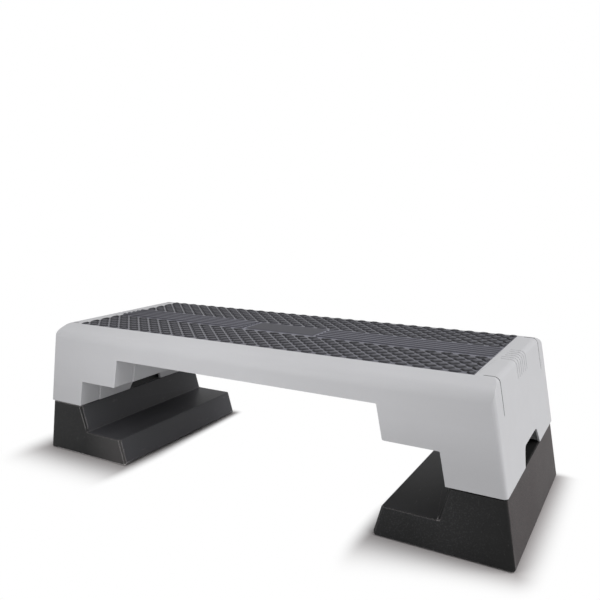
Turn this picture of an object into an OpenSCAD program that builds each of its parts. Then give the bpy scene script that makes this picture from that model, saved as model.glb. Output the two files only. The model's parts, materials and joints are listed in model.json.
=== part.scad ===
// Adjustable aerobic step: a moulded deck with a rubber tread, standing on two stair-shaped risers.
// X runs along the deck, Y across it and Z up. The origin is on the floor under the deck's middle.

/* [Heights] */
// Height of each of the step's settings above the one before
step_rise = 50; // [44:1:56]
// Height of a riser's tall part above the floor
riser_height = 98; // [92:1:110]
// Depth of the deck's side rails between the stair-shaped ends
rail_depth = 50; // [44:1:70]

/* [Deck] */
// Length of the deck across the bottoms of its legs
deck_length = 868; // [840:2:920]
// Depth of the deck over its side walls
deck_depth = 344; // [338:1:380]
// Lean of the end walls from upright, in degrees
end_draft = 9.5; // [6:0.5:12]
// Length of a leg along the deck, at its bottom
leg_reach = 82; // [78:1:90]
// Length of the second stair beyond the leg, at its bottom
stair_reach = 92; // [84:1:98]
// Lean of the stair faces from upright, in degrees
stair_draft = 10.5; // [6:0.5:14]
// Width of the flat rim beside the tread
tread_rim = 1.5; // [0.5:0.5:3]
// How far the sloping shoulder falls from the rim to the crease
shoulder_drop = 14.5; // [10:0.5:18]
// Radius of the crease between shoulder and side wall
crease_radius = 22; // [14:1:26]
// Radius of the top edge at the two ends
end_radius = 9; // [7:1:16]
// Radius of the four upright corners
corner_radius = 7; // [5:1:14]
// Radius of the stair corners along the side walls
stair_radius = 3; // [1:0.5:4]

/* [Deck walls] */
// Thickness of the side and end walls
deck_wall = 3.5; // [3:0.25:4.5]
// Thickness of the plate under the tread
plate_thickness = 4; // [3:0.5:6]
// Thickness of the stiffening ribs
rib_wall = 2.5; // [2:0.25:3.5]
// Depth of the ribs under the middle of the deck
bay_rib_depth = 32; // [20:1:38]
// Spacing of the ribs that run across the deck
cross_rib_pitch = 62; // [50:1:80]
// Width of each stair face's cheek, from the side wall inward
cheek_depth = 45.5; // [38:0.5:50]
// How far the middle of a stair face stands proud of its two cheeks
middle_step = 2.5; // [1:0.5:4]

/* [Notches] */
// Width of the hand notch in an end wall, at the bottom of the leg
notch_base_width = 116; // [100:1:118]
// Width of the hand notch at its top
notch_top_width = 86; // [76:1:96]
// Height of the hand notch
notch_height = 27; // [24:1:34]
// Radius of the hand notch's upper corners
notch_radius = 12; // [4:1:13]
// Radius of the lips at the bottom of a notch
notch_lip = 5; // [2:0.5:6]
// Gap between the hand notch and the wall that stands beside it inside the leg
notch_wall_gap = 4; // [2:0.5:6]
// Width of the slot in a leg's inner face, at its bottom
slot_base_width = 94; // [84:1:100]
// Width of the slot at its top
slot_top_width = 78; // [70:1:80]
// Height of the slot
slot_height = 15; // [14:1:24]
// Radius of the slot's upper corners
slot_radius = 7; // [3:1:8]

/* [End lines] */
// Distance of the long end groove from the deck's side wall
groove_inset = 39; // [37:0.5:44]
// Width of a long end groove
groove_width = 2.5; // [1:0.25:3]
// Depth of a long end groove
groove_depth = 2; // [0.5:0.1:2.2]
// Length down the end wall that a long groove runs, measured in height
groove_fall = 52; // [30:1:80]
// Width of a fine end line
line_width = 2.6; // [1:0.2:4]
// Depth of a fine end line
line_depth = 1.3; // [0.4:0.1:1.6]
// Length down the end wall that a fine line runs, measured in height
line_fall = 28; // [16:1:70]

/* [Tread] */
// Length of the tread
tread_length = 752; // [720:2:756]
// Depth of the tread
tread_depth = 275; // [267:1:277]
// Thickness of the tread below its pattern
tread_base = 3; // [2:0.5:5]
// Height of the knobs and ribs above the tread's base
knob_height = 2.5; // [1.5:0.25:3.5]
// Spacing of the diamond knobs along a row
knob_pitch = 25.8; // [22:0.1:32]
// Width of the valleys between the knobs
valley_width = 4; // [3:0.25:6]
// Number of rows of knobs in each side band
knob_rows = 8; // [6:1:9]
// Depth of one row of knobs
row_depth = 13; // [11:0.25:13.5]
// Number of long ribs along the middle of the tread
rib_count = 5; // [3:1:5]
// Spacing of the long ribs
rib_pitch = 12.55; // [10:0.05:13]
// Width of a long rib
rib_width = 8; // [5:0.5:9]
// Length of the gap between the ribs for the plain panel in the middle of the tread
panel_length = 150; // [100:2:200]
// Height of the plain panel above the tread's base
panel_rise = 2; // [0.5:0.25:2.5]

/* [Risers] */
// Depth of a riser over its side walls
riser_depth = 337; // [330:1:340]
// Length of the riser's tall part along the step, at its top
riser_top_length = 76; // [72:1:84]
// Length of the riser's low step
riser_tread_length = 83; // [76:1:90]
// How far the riser's top sits in from the end of the deck's leg
riser_inset = 2; // [0:0.5:4]
// Lean of the riser's outer wall from upright, in degrees
riser_end_draft = 9.3; // [6:0.1:12]
// Lean of the riser's inner faces from upright, in degrees
riser_face_draft = 16.5; // [12:0.5:18]
// Radius of the riser's long edges
riser_edge_radius = 2.5; // [1:0.5:4]
// Radius of the riser's two bottom edges
riser_base_radius = 4; // [2:0.5:5]
// Width of the bevels between the riser's side walls and its inner faces
riser_face_bevel = 5.5; // [3:0.5:6]
// Width of the fine bevels along the sides of the riser's treads
riser_tread_bevel = 1.5; // [0.5:0.25:2.5]
// Radius of the riser's outer upright corners
riser_corner_radius = 6; // [3:0.5:10]
// Thickness of the riser's walls
riser_wall = 3.5; // [3:0.25:4.5]
// Spacing of the ribs inside a riser
riser_rib_pitch = 52; // [46:1:60]
// Height of the riser's ribs above the floor
riser_rib_clearance = 8; // [4:1:14]

/* [Locating lugs] */
// Height of a riser's lug above its top
lug_height = 20; // [14:1:24]
// Length of a lug along the step
lug_length = 50; // [40:1:56]
// How far a lug stands back from the riser's inner face
lug_setback = 2; // [1:0.5:6]
// How far a lug's sides stand inside the outline of the hand notch
lug_gap = 6; // [4:0.5:9]

/* [Feet and pads] */
// Radius of a rubber foot or pad
foot_radius = 11; // [8:0.5:13]
// Thickness of a rubber foot or pad
foot_thickness = 4; // [3.5:0.25:6]
// How far a riser's foot stands out below its walls
foot_proud = 1.5; // [1:0.25:2.5]
// How far a leg's pad stands out below its walls
pad_proud = 2; // [1:0.25:3]
// Radius of the stem that is pressed into its boss
stem_radius = 4; // [3:0.25:6]
// Length of the stem
stem_length = 8; // [6:0.5:14]
// Radial clearance round a stem
stem_clearance = 0.1; // [0.05:0.05:0.2]
// Radial clearance round a foot in its seat
seat_clearance = 0.3; // [0.2:0.05:0.5]
// Thickness of a boss outside the foot's seat
boss_wall = 2.7; // [2:0.1:3.5]
// Distance of the feet from the riser's side walls
foot_side_inset = 20; // [18:1:30]
// Distance of the feet from the ends of the riser's base
foot_end_inset = 30; // [28:1:36]

/* [Hidden] */
$fn = 48;

// Cuts run this far past the face that they open
over = 1;
// Ribs and walls run this far into the wall that they join
bite = 1;

// Heights above the floor
low_tread = riser_height - step_rise;
leg_bottom = riser_height + pad_proud;
stair_bottom = riser_height + step_rise;
rail_bottom = leg_bottom + 2 * step_rise;
rim_top = rail_bottom + rail_depth;
tread_floor = rim_top - tread_base;
plate_bottom = tread_floor - plate_thickness;

// Places along the deck
leg_outer = deck_length / 2;
leg_inner = leg_outer - leg_reach;
stair_inner = leg_inner - stair_reach;
function end_x(z) = leg_outer - (z - leg_bottom) * tan(end_draft);
function leg_x(z) = leg_inner - (z - leg_bottom) * tan(stair_draft);
function stair_x(z) = stair_inner - (z - stair_bottom) * tan(stair_draft);

// Places across the deck
side_y = deck_depth / 2;
cheek_y = side_y - cheek_depth;
shoulder_width = (deck_depth - tread_depth) / 2 - tread_rim;
shoulder_slope = atan(shoulder_drop / shoulder_width);
notch_wall_y = notch_base_width / 2 + notch_wall_gap + rib_wall / 2;

// Places along a riser, on the right of the origin
riser_base = foot_proud;
riser_top_outer = leg_outer - riser_inset;
riser_top_inner = riser_top_outer - riser_top_length;
riser_concave = riser_top_inner - step_rise * tan(riser_face_draft);
riser_low_edge = riser_concave - riser_tread_length;
function low_face_x(z) = riser_low_edge - (low_tread - z) * tan(riser_face_draft);
function tall_face_x(z) = riser_top_inner - (riser_height - z) * tan(riser_face_draft);
function outer_face_x(z) = riser_top_outer + (riser_height - z) * tan(riser_end_draft);

// Feet and pads
boss_radius = foot_radius + seat_clearance + boss_wall;
foot_places_x = [low_face_x(riser_base) + foot_end_inset, outer_face_x(riser_base) - foot_end_inset];
foot_y = riser_depth / 2 - foot_side_inset;
pad_x = (leg_inner + leg_outer) / 2;
pad_y = side_y - foot_side_inset - deck_wall / 2;

// Lug, narrowed from the notch's own sides
notch_flare = (notch_base_width - notch_top_width) / 2 / notch_height;
function lug_half(z) = notch_base_width / 2 - (z - leg_bottom) * notch_flare - lug_gap;
lug_top = riser_height + lug_height;

// Corner p of an outline, between neighbours a and b, as an arc of radius r
function steps(r) = max(3, ceil(r / 1.5));
function unit(v) = v / norm(v);
function turn(from, to) = to - from > 180 ? to - from - 360 : to - from < -180 ? to - from + 360 : to - from;
function corner(p, a, b, r) =
    r <= 0 ? [p] :
    let (
        u = unit(a - p),
        v = unit(b - p),
        half = acos(u * v) / 2,
        centre = p + unit(u + v) * r / sin(half),
        start = p + u * r / tan(half) - centre,
        end = p + v * r / tan(half) - centre,
        from = atan2(start.y, start.x),
        sweep = turn(from, atan2(end.y, end.x))
    )
    [for (i = [0 : steps(r)]) centre + r * [cos(from + sweep * i / steps(r)), sin(from + sweep * i / steps(r))]];

// Outline through points, each with its own corner radius
function rounded(points, radii) =
    let (n = len(points))
    [for (i = [0 : n - 1]) each corner(points[i], points[(i + n - 1) % n], points[(i + 1) % n], radii[i])];

// A shape drawn in X and Z, spread evenly across the step
module across(width) { rotate([90, 0, 0]) linear_extrude(width, center = true) children(); }
// A shape drawn in Y and Z, spread evenly along the step
module along(length) { rotate([90, 0, 90]) linear_extrude(length, center = true) children(); }
module both_ends() { children(); mirror([1, 0, 0]) children(); }
module both_sides() { children(); mirror([0, 1, 0]) children(); }

// Long outline of the deck, t inside its end walls and drop below its rim
module end_outline(t, drop) {
    top = rim_top - drop;
    low = leg_bottom - (t > 0 ? over : 0);
    inset = t / cos(end_draft);
    r = max(end_radius - max(t, drop), over);
    polygon(rounded(
        [[-end_x(low) + inset, low], [end_x(low) - inset, low], [end_x(top) - inset, top], [-end_x(top) + inset, top]],
        [0, 0, r, r]));
}

// Cross outline of the deck, t inside its side walls and drop below its rim
module shoulder_outline(t, drop) {
    low = leg_bottom - (t > 0 ? over : 0);
    top = rim_top - drop;
    y = side_y - t;
    lift = t / cos(shoulder_slope);
    flat_y = side_y - shoulder_width + (drop - lift) / tan(shoulder_slope);
    crease_z = rim_top - lift - (y - side_y + shoulder_width) * tan(shoulder_slope);
    r = max(crease_radius - t, over);
    polygon(rounded(
        [[-y, low], [y, low], [y, crease_z], [flat_y, top], [-flat_y, top], [-y, crease_z]],
        [0, 0, r, 0, 0, r]));
}

// What is cut away outside an upright corner of radius r: round at t = 0, and a flat across it inside the walls
module corner_cut(r, t) {
    if (t > 0) polygon([[-2 * r, r - t], [r, r], [r - t, -2 * r]]);
    else difference() {
        translate([-r, -r]) square(2 * r);
        translate([-r, -r]) circle(r);
    }
}

// The deck's outside, or what is t inside its walls and drop below its rim
module deck_envelope(t, drop) {
    difference() {
        intersection() {
            across(deck_depth) end_outline(t, drop);
            along(deck_length) shoulder_outline(t, drop);
        }
        both_ends() both_sides()
            translate([leg_outer, side_y, leg_bottom]) rotate([0, -end_draft, 0])
                translate([0, 0, -corner_radius]) linear_extrude(rim_top) corner_cut(corner_radius, t);
    }
}

// The space under the stair-shaped ends, moved outward by shift
module stair_outline(shift) {
    low = leg_bottom - 2 * over;
    r = stair_radius;
    polygon(rounded(
        [[0, low], [leg_x(low) + shift, low], [leg_x(stair_bottom) + shift, stair_bottom],
         [stair_x(stair_bottom) + shift, stair_bottom], [stair_x(rail_bottom) + shift, rail_bottom], [0, rail_bottom]],
        [0, 0, r / 2, r, r / 2, 0]));
}

// A wall across the deck behind a stair face that starts at height low
module stair_wall(low, x_low, x_high) {
    top = plate_bottom + bite;
    front = middle_step + bite;
    back = deck_wall / cos(stair_draft);
    polygon([[x_low - front, low], [x_low + back, low], [x_high + back, top], [x_high - front, top]]);
}

// Ribs under the middle of the deck, and the ribs and walls of its two ends
module deck_ribs() {
    top = plate_bottom + bite;
    bay_low = plate_bottom - bay_rib_depth;
    long_ribs = [0, notch_wall_y, cheek_y];
    for (y = long_ribs) both_sides() {
        translate([-stair_inner, y - rib_wall / 2, bay_low]) cube([2 * stair_inner, rib_wall, top - bay_low]);
        both_ends() translate([stair_x(rail_bottom), y - rib_wall / 2, y == 0 ? stair_bottom : leg_bottom])
            cube([leg_outer - stair_x(rail_bottom), rib_wall, top - (y == 0 ? stair_bottom : leg_bottom)]);
    }
    for (x = [0 : cross_rib_pitch : stair_x(rim_top)]) both_ends()
        translate([x - rib_wall / 2, -side_y, bay_low]) cube([rib_wall, deck_depth, top - bay_low]);
    both_ends() across(deck_depth) {
        stair_wall(leg_bottom, leg_x(leg_bottom), leg_x(plate_bottom + bite));
        stair_wall(stair_bottom, stair_x(stair_bottom), stair_x(plate_bottom + bite));
    }
}

// A notch at the bottom of a leg, drawn in Y and Z, with lips that are rounded outward
module notch_outline(base_width, top_width, height, radius) {
    low = leg_bottom - over;
    top = leg_bottom + height;
    base = base_width / 2;
    wide = base + 2 * notch_lip;
    polygon(rounded(
        [[-wide, low - over], [wide, low - over], [wide, low], [base, low],
         [top_width / 2, top], [-top_width / 2, top], [-base, low], [-wide, low]],
        [0, 0, 0, notch_lip, radius, radius, notch_lip, 0]));
}

// Lines cut over an end edge, each fall deep in height
module end_lines(places, width, depth, fall) {
    start = tread_length / 2 + (end_x(rim_top) - tread_length / 2) / 3;
    difference() {
        both_ends() for (y = places) translate([start, y - width / 2, rim_top - fall])
            cube([leg_outer - start, width, fall + over]);
        deck_envelope(depth, depth);
    }
}

// A foot or pad with its stem, its underside at height z; spare widens it for its seat
module foot_shape(z, spare_disc, spare_stem) {
    translate([0, 0, z]) cylinder(h = foot_thickness, r = foot_radius + spare_disc);
    translate([0, 0, z + foot_thickness - over])
        cylinder(h = stem_length + over + spare_stem, r = stem_radius + spare_stem);
}

module deck_shell() {
    fine_lines = [for (i = [0 : rib_count]) (i - rib_count / 2) * rib_pitch];
    color("#b9b9bd") difference() {
        union() {
            difference() {
                deck_envelope(0, 0);
                deck_envelope(deck_wall, rim_top - plate_bottom);
            }
            intersection() {
                deck_envelope(deck_wall / 2, tread_base);
                union() {
                    deck_ribs();
                    both_ends() both_sides() translate([pad_x, pad_y, leg_bottom])
                        cylinder(h = plate_bottom + bite - leg_bottom, r = boss_radius);
                }
            }
        }
        both_ends() across(deck_depth + 2 * over) stair_outline(-middle_step);
        both_ends() both_sides() translate([0, cheek_y + (cheek_depth + over) / 2, 0])
            across(cheek_depth + over) stair_outline(0);
        both_ends() translate([pad_x + leg_reach / 2, 0, 0]) along(leg_reach)
            notch_outline(notch_base_width, notch_top_width, notch_height, notch_radius);
        both_ends() translate([pad_x - leg_reach / 2, 0, 0]) along(leg_reach)
            notch_outline(slot_base_width, slot_top_width, slot_height, slot_radius);
        translate([0, 0, tread_floor + rim_top / 2])
            cube([tread_length + 2 * seat_clearance, tread_depth + 2 * seat_clearance, rim_top], center = true);
        end_lines([side_y - groove_inset, groove_inset - side_y], groove_width, groove_depth, groove_fall);
        end_lines(fine_lines, line_width, line_depth, line_fall);
        both_ends() both_sides() translate([pad_x, pad_y, 0])
            foot_shape(riser_height, seat_clearance, stem_clearance);
    }
}

// Diamond knobs in staggered rows, inside one side band
module knob_band() {
    side = sqrt(pow(knob_pitch / 2, 2) + pow(row_depth, 2)) - valley_width;
    outer = tread_depth / 2 - row_depth / 2;
    intersection() {
        translate([-tread_length / 2, outer + row_depth / 2 - knob_rows * row_depth])
            square([tread_length, knob_rows * row_depth]);
        for (row = [0 : knob_rows - 1]) {
            shift = row % 2 == 0 ? knob_pitch / 2 : 0;
            count = ceil(tread_length / 2 / knob_pitch);
            for (i = [-count : count]) translate([i * knob_pitch + shift, outer - row * row_depth])
                rotate(45) square(side, center = true);
        }
    }
}

// Long ribs on either side of the plain panel
module tread_ribs() {
    length = (tread_length - panel_length) / 2;
    for (i = [0 : rib_count - 1]) translate([panel_length / 2, (i - (rib_count - 1) / 2) * rib_pitch - rib_width / 2])
        square([length, rib_width]);
}

module tread_mat() {
    color("#4a494e") union() {
        translate([-tread_length / 2, -tread_depth / 2, tread_floor]) cube([tread_length, tread_depth, tread_base]);
        translate([0, 0, rim_top - bite]) linear_extrude(knob_height + bite) {
            both_sides() knob_band();
            both_ends() tread_ribs();
        }
        translate([0, 0, rim_top - bite]) linear_extrude(panel_rise + bite)
            square([panel_length - 2 * valley_width, (rib_count - 1) * rib_pitch + rib_width], center = true);
    }
}

// Side outline of a riser, t inside its walls
module riser_outline(t) {
    low = riser_base - (t > 0 ? over : 0);
    face = t / cos(riser_face_draft);
    outer = t / cos(riser_end_draft);
    r = t > 0 ? 0 : riser_edge_radius;
    base_r = t > 0 ? 0 : riser_base_radius;
    polygon(rounded(
        [[low_face_x(low) + face, low], [low_face_x(low_tread - t) + face, low_tread - t],
         [tall_face_x(low_tread - t) + face, low_tread - t], [tall_face_x(riser_height - t) + face, riser_height - t],
         [outer_face_x(riser_height - t) - outer, riser_height - t], [outer_face_x(low) - outer, low]],
        [base_r, r, r, r, r, base_r]));
}

// A square bar that bevels an edge, upright until it is turned
module edge_bar(width, length) { rotate(45) cube([width, width, length], center = true); }

// What the bevels take off a riser along both of its side walls
module riser_bevels() {
    both_sides() {
        translate([low_face_x(low_tread / 2), riser_depth / 2, low_tread / 2])
            rotate([0, riser_face_draft, 0]) edge_bar(riser_face_bevel, 2 * low_tread);
        intersection() {
            translate([tall_face_x(riser_height), riser_depth / 2, riser_height])
                rotate([0, riser_face_draft, 0]) edge_bar(riser_face_bevel, 3 * step_rise);
            translate([0, 0, low_tread]) cube([leg_outer, riser_depth, riser_height]);
        }
        translate([(riser_low_edge + riser_concave) / 2, riser_depth / 2, low_tread])
            rotate([0, 90, 0]) edge_bar(riser_tread_bevel, riser_tread_length);
        translate([(riser_top_inner + riser_top_outer) / 2, riser_depth / 2, riser_height])
            rotate([0, 90, 0]) edge_bar(riser_tread_bevel, riser_top_length + over);
    }
}

// The lug on a riser, t inside its walls
module riser_lug(t) {
    low = riser_height - riser_wall - bite;
    top = lug_top - t;
    back = tall_face_x(riser_height) + lug_setback + t;
    intersection() {
        translate([back + lug_length / 2 - t, 0, 0]) along(lug_length - 2 * t)
            polygon([[-lug_half(low) + t, low], [lug_half(low) - t, low], [lug_half(top) - t, top], [-lug_half(top) + t, top]]);
        across(riser_depth) polygon([
            [tall_face_x(low) + lug_setback + t, low], [riser_top_outer, low],
            [riser_top_outer, top], [tall_face_x(top) + lug_setback + t, top]]);
    }
}

module riser_ribs() {
    middle = (low_face_x(riser_base) + outer_face_x(riser_base)) / 2;
    intersection() {
        across(riser_depth - riser_wall) riser_outline(riser_wall / 2);
        union() {
            for (y = [-2 : 2]) translate([0, y * riser_rib_pitch - rib_wall / 2, riser_rib_clearance])
                cube([leg_outer + riser_height, rib_wall, riser_height]);
            for (i = [-1 : 1])
                translate([middle + i * riser_rib_pitch - rib_wall / 2, -riser_depth / 2, riser_rib_clearance])
                    cube([rib_wall, riser_depth, riser_height]);
            for (x = foot_places_x) both_sides() translate([x, foot_y, riser_base])
                cylinder(h = riser_height, r = boss_radius);
        }
    }
}

// A riser, drawn on the right of the origin
module riser() {
    difference() {
        union() {
            difference() {
                union() {
                    across(riser_depth) riser_outline(0);
                    riser_lug(0);
                }
                across(riser_depth - 2 * riser_wall) riser_outline(riser_wall);
                riser_lug(riser_wall);
            }
            riser_ribs();
        }
        both_sides() translate([outer_face_x(riser_base), riser_depth / 2, riser_base]) rotate([0, -riser_end_draft, 0])
            translate([0, 0, -riser_corner_radius]) linear_extrude(2 * riser_height) corner_cut(riser_corner_radius, 0);
        riser_bevels();
        for (x = foot_places_x) both_sides() translate([x, foot_y, 0])
            foot_shape(0, seat_clearance, stem_clearance);
    }
}

module right_riser() { color("#2a2a2c") riser(); }
module left_riser() { color("#2a2a2c") mirror([1, 0, 0]) riser(); }

// A pad under the leg at the end and side named by their signs
module leg_pad(end, side) { color("#1c1c1e") translate([end * pad_x, side * pad_y, 0]) foot_shape(riser_height, 0, 0); }

// A riser's foot, place 0 at the inner end of its base and place 1 at the outer end
module riser_foot(end, place, side) {
    color("#1c1c1e") translate([end * foot_places_x[place], side * foot_y, 0]) foot_shape(0, 0, 0);
}

deck_shell();
tread_mat();
left_riser();
right_riser();
leg_pad(-1, -1);  // leg_pad_left_front
leg_pad(-1, 1);  // leg_pad_left_back
leg_pad(1, -1);  // leg_pad_right_front
leg_pad(1, 1);  // leg_pad_right_back
riser_foot(-1, 1, -1);  // left_riser_foot_outer_front
riser_foot(-1, 1, 1);  // left_riser_foot_outer_back
riser_foot(-1, 0, -1);  // left_riser_foot_inner_front
riser_foot(-1, 0, 1);  // left_riser_foot_inner_back
riser_foot(1, 1, -1);  // right_riser_foot_outer_front
riser_foot(1, 1, 1);  // right_riser_foot_outer_back
riser_foot(1, 0, -1);  // right_riser_foot_inner_front
riser_foot(1, 0, 1);  // right_riser_foot_inner_back
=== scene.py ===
# %% [markdown]
# # An adjustable aerobic step
# This lesson dresses the CAD model of a stepping platform: a pale moulded deck with a dark rubber
# tread, which stands on two black risers. The CAD model comes in first as a frame that never moves.
# Everything made here is placed by it, in metres, with X along the deck and Z up.

# %% Load the frame
import json
import math

import bpy
from mathutils import Matrix, Vector


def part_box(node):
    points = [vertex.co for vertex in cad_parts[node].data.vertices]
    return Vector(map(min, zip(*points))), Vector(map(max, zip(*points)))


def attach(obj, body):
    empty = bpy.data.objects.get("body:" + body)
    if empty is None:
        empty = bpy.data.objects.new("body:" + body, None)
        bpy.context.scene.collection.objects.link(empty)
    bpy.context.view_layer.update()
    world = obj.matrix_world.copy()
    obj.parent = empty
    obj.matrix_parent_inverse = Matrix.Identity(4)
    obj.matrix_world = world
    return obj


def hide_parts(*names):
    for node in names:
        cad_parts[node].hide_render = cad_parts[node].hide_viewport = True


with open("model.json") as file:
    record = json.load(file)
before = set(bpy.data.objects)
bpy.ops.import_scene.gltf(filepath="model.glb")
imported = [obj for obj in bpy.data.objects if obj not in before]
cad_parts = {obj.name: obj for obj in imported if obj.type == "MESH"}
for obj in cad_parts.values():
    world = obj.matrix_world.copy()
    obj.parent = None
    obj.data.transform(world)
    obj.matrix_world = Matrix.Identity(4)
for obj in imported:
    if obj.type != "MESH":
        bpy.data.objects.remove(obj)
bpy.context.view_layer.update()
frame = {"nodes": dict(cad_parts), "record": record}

MM = 0.001
X, Y, Z = 0, 1, 2
print("nodes:", sorted(frame["nodes"]))

# %% [markdown]
# ## Shader sums as Python expressions
# A finish is a network of nodes, and most of those nodes only add, multiply or compare. Drawing
# them by hand is slow to read, so a small class wraps a socket: writing `1 - mask` adds the Math
# node and wires it. Everything that isn't a sum, such as a noise or a bevel, comes from one method.

# %% Wires and paints
# A Mix node has sockets of the same names for numbers, vectors and colours. These are the places
# of its factor, its two colours and the mixed colour.
mix_factor, mix_first, mix_second, mix_result = 0, 6, 7, 2


class Wire:
    """An output socket that can be used in sums."""

    def __init__(self, paint, socket):
        self.paint = paint
        self.socket = socket

    def sum(self, operation, first, second):
        return self.paint.add("Math", {"operation": operation}, {0: first, 1: second})

    def __add__(self, other):
        return self.sum("ADD", self, other)

    def __radd__(self, other):
        return self.sum("ADD", other, self)

    def __sub__(self, other):
        return self.sum("SUBTRACT", self, other)

    def __rsub__(self, other):
        return self.sum("SUBTRACT", other, self)

    def __mul__(self, other):
        return self.sum("MULTIPLY", self, other)

    def __rmul__(self, other):
        return self.sum("MULTIPLY", other, self)

    def __pow__(self, other):
        return self.sum("POWER", self, other)


class Paint:
    """A material, or a world, and the one method that adds nodes to it."""

    def __init__(self, name, makers=bpy.data.materials):
        self.material = makers.new(name)
        self.material.use_nodes = True
        self.tree = self.material.node_tree
        self.tree.nodes.clear()

    def add(self, kind, settings=None, sockets=None, out=0):
        node = self.tree.nodes.new("ShaderNode" + kind)
        for key, value in (settings or {}).items():
            setattr(node, key, value)
        for key, value in (sockets or {}).items():
            if isinstance(value, Wire):
                self.tree.links.new(value.socket, node.inputs[key])
            else:
                node.inputs[key].default_value = value
        return Wire(self, node.outputs[out]) if len(node.outputs) else None

    def mix(self, factor, first, second):
        """Colour first where factor is 0, and second where it is 1."""
        sockets = {mix_factor: factor, mix_first: first, mix_second: second}
        return self.add("Mix", {"data_type": "RGBA"}, sockets, out=mix_result)

    def finish(self, shader, kind="OutputMaterial"):
        self.add(kind, None, {"Surface": shader})
        return self.material


print("shader sums are ready")

# %% [markdown]
# ## Where on the object a finish is
# A texture needs coordinates. Images would need every piece unwrapped, so the finishes here are
# made of noises, and of masks that read the position instead. Each piece's origin lies at the
# frame's own origin, so the object coordinates are simply metres in the frame, and they stay with
# a piece that moves. A mask is 1 where its mark is and fades to 0 over a short way.

# %% Positions, masks and greys
def clamp01(paint, wire):
    return paint.add("Clamp", None, {"Value": wire})


def absolute(paint, wire):
    return paint.add("Math", {"operation": "ABSOLUTE"}, {0: wire})


def position(paint):
    """Where a point is on the object, in metres in the frame."""
    return paint.add("TexCoord", out="Object")


def part_of(paint, vector, axis):
    return paint.add("SeparateXYZ", None, {"Vector": vector}, out=axis)


def size_of(paint, vector, axis):
    """How far a vector goes along an axis, whichever way."""
    return absolute(paint, part_of(paint, vector, axis))


def above(paint, wire, limit, over):
    """0 up to the limit, then rising to 1 over a short way."""
    return clamp01(paint, (wire - limit) * (1 / over))


def below(paint, wire, limit, over):
    """1 well under the limit, falling to 0 at it over a short way."""
    return clamp01(paint, (limit - wire) * (1 / over))


def on_right(paint, place):
    """1 on the step's right half, 0 on its left."""
    return above(paint, part_of(paint, place, X), 0.0, 10 * MM)


def grey(level, tint=0.0):
    """A grey with a little more blue (tint above 0) or a little more red (below 0)."""
    return (level * (1 + max(-tint, 0)), level, level * (1 + max(tint, 0)), 1.0)


black = grey(0.0)
print("masks and greys are ready")

# %% [markdown]
# ## Grain, blotches and edge masks
# Smooth noises look the same from every side, and stretch or shrink freely: a grain of half a millimetre
# is a noise of scale 2000. Wear shows first on outer edges, and the risers also get painted highlights on
# some of their edges. They could be picked out by hand, but a Bevel node gives the normal that a surface
# would have with rounded edges, and where that turns away from the real normal, there is an edge.

# %% Noises and edge masks
bevel_samples = 6
edge_turn, edge_contrast = 0.985, 16


def noise(paint, place, scale, detail=2.0, rough=0.5):
    sockets = {"Vector": place, "Scale": scale, "Detail": detail, "Roughness": rough}
    return paint.add("TexNoise", {"noise_dimensions": "3D"}, sockets)


def stretched(paint, place, along):
    """Coordinates whose noises are drawn out: along holds how much of each axis is kept."""
    return paint.add("VectorMath", {"operation": "MULTIPLY"}, {0: place, 1: along})


def edge_mask(paint, width):
    """1 on sharp outer edges, 0 on flat faces: how far a rounded normal turns from the real one."""
    rounded = paint.add("Bevel", {"samples": bevel_samples}, {"Radius": width})
    flat = paint.add("NewGeometry", out="True Normal")
    dot = {"operation": "DOT_PRODUCT"}
    turned = paint.add("VectorMath", dot, {0: rounded, 1: flat}, out="Value")
    return clamp01(paint, (edge_turn - turned) * edge_contrast)


print("noises and worn edges are ready")

# %% [markdown]
# ## The deck's own marks
# The two long grooves over each end edge and every narrow crevice get painted shade, a darker colour. The
# grooves' places are known, so a mask finds them by position. Crevices are everywhere, and ambient
# occlusion finds them, since it measures how far a spot is shut in by its neighbours. Low down, the legs'
# long sides are also painted a little darker as painted shade, most of all on the right, as they are in
# the photograph.

# %% Marks on the deck
groove_y, groove_half_width = 133.0 * MM, 1.4 * MM
groove_edge_fade = 0.125 * MM
groove_from_x, groove_fade_x = 387.0 * MM, 2.0 * MM
groove_from_z, groove_fade_z = 196.0 * MM, 16.7 * MM
groove_shade_grey = grey(0.03, 0.02)
crevice_reach, crevice_samples = 25.0 * MM, 4
crevice_openness, crevice_contrast = 0.55, 2.2
crevice_shade_grey = grey(0.06, 0.02)
dark_below_z, dark_over = 185.0 * MM, 60.0 * MM
sideways, sideways_fade = 0.4, 0.4
leg_shade, more_on_right = 0.06, 0.06


def groove_shade(paint, place):
    """1 in the deck's two long end grooves, which are painted darker as painted shade."""
    off_line = absolute(paint, size_of(paint, place, Y) - groove_y)
    in_line = below(paint, off_line, groove_half_width, groove_edge_fade)
    over_end = above(paint, size_of(paint, place, X), groove_from_x, groove_fade_x)
    return in_line * over_end * above(paint, part_of(paint, place, Z), groove_from_z, groove_fade_z)


def deck_marks(paint, place, body, noises, edges):
    # painted shade: the end grooves are painted darker
    body = paint.mix(groove_shade(paint, place), body, groove_shade_grey)
    # painted shade: crevices that ambient occlusion finds shut in are painted darker
    reach = {"Distance": crevice_reach}
    openness = paint.add("AmbientOcclusion", {"samples": crevice_samples}, reach, out="AO")
    crevice_shade = clamp01(paint, (crevice_openness - openness) * crevice_contrast)
    body = paint.mix(crevice_shade, body, crevice_shade_grey)
    # painted shade: the legs' long sides are darker low down, more on the right
    facing = paint.add("TexCoord", out="Normal")
    on_side = above(paint, size_of(paint, facing, Y), sideways, sideways_fade)
    low = below(paint, part_of(paint, place, Z), dark_below_z, dark_over)
    low_side_shade = leg_shade + on_right(paint, place) * more_on_right
    return paint.mix(low * on_side * low_side_shade, body, black), edges, 0.0


print("marks of the deck are ready")
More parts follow.
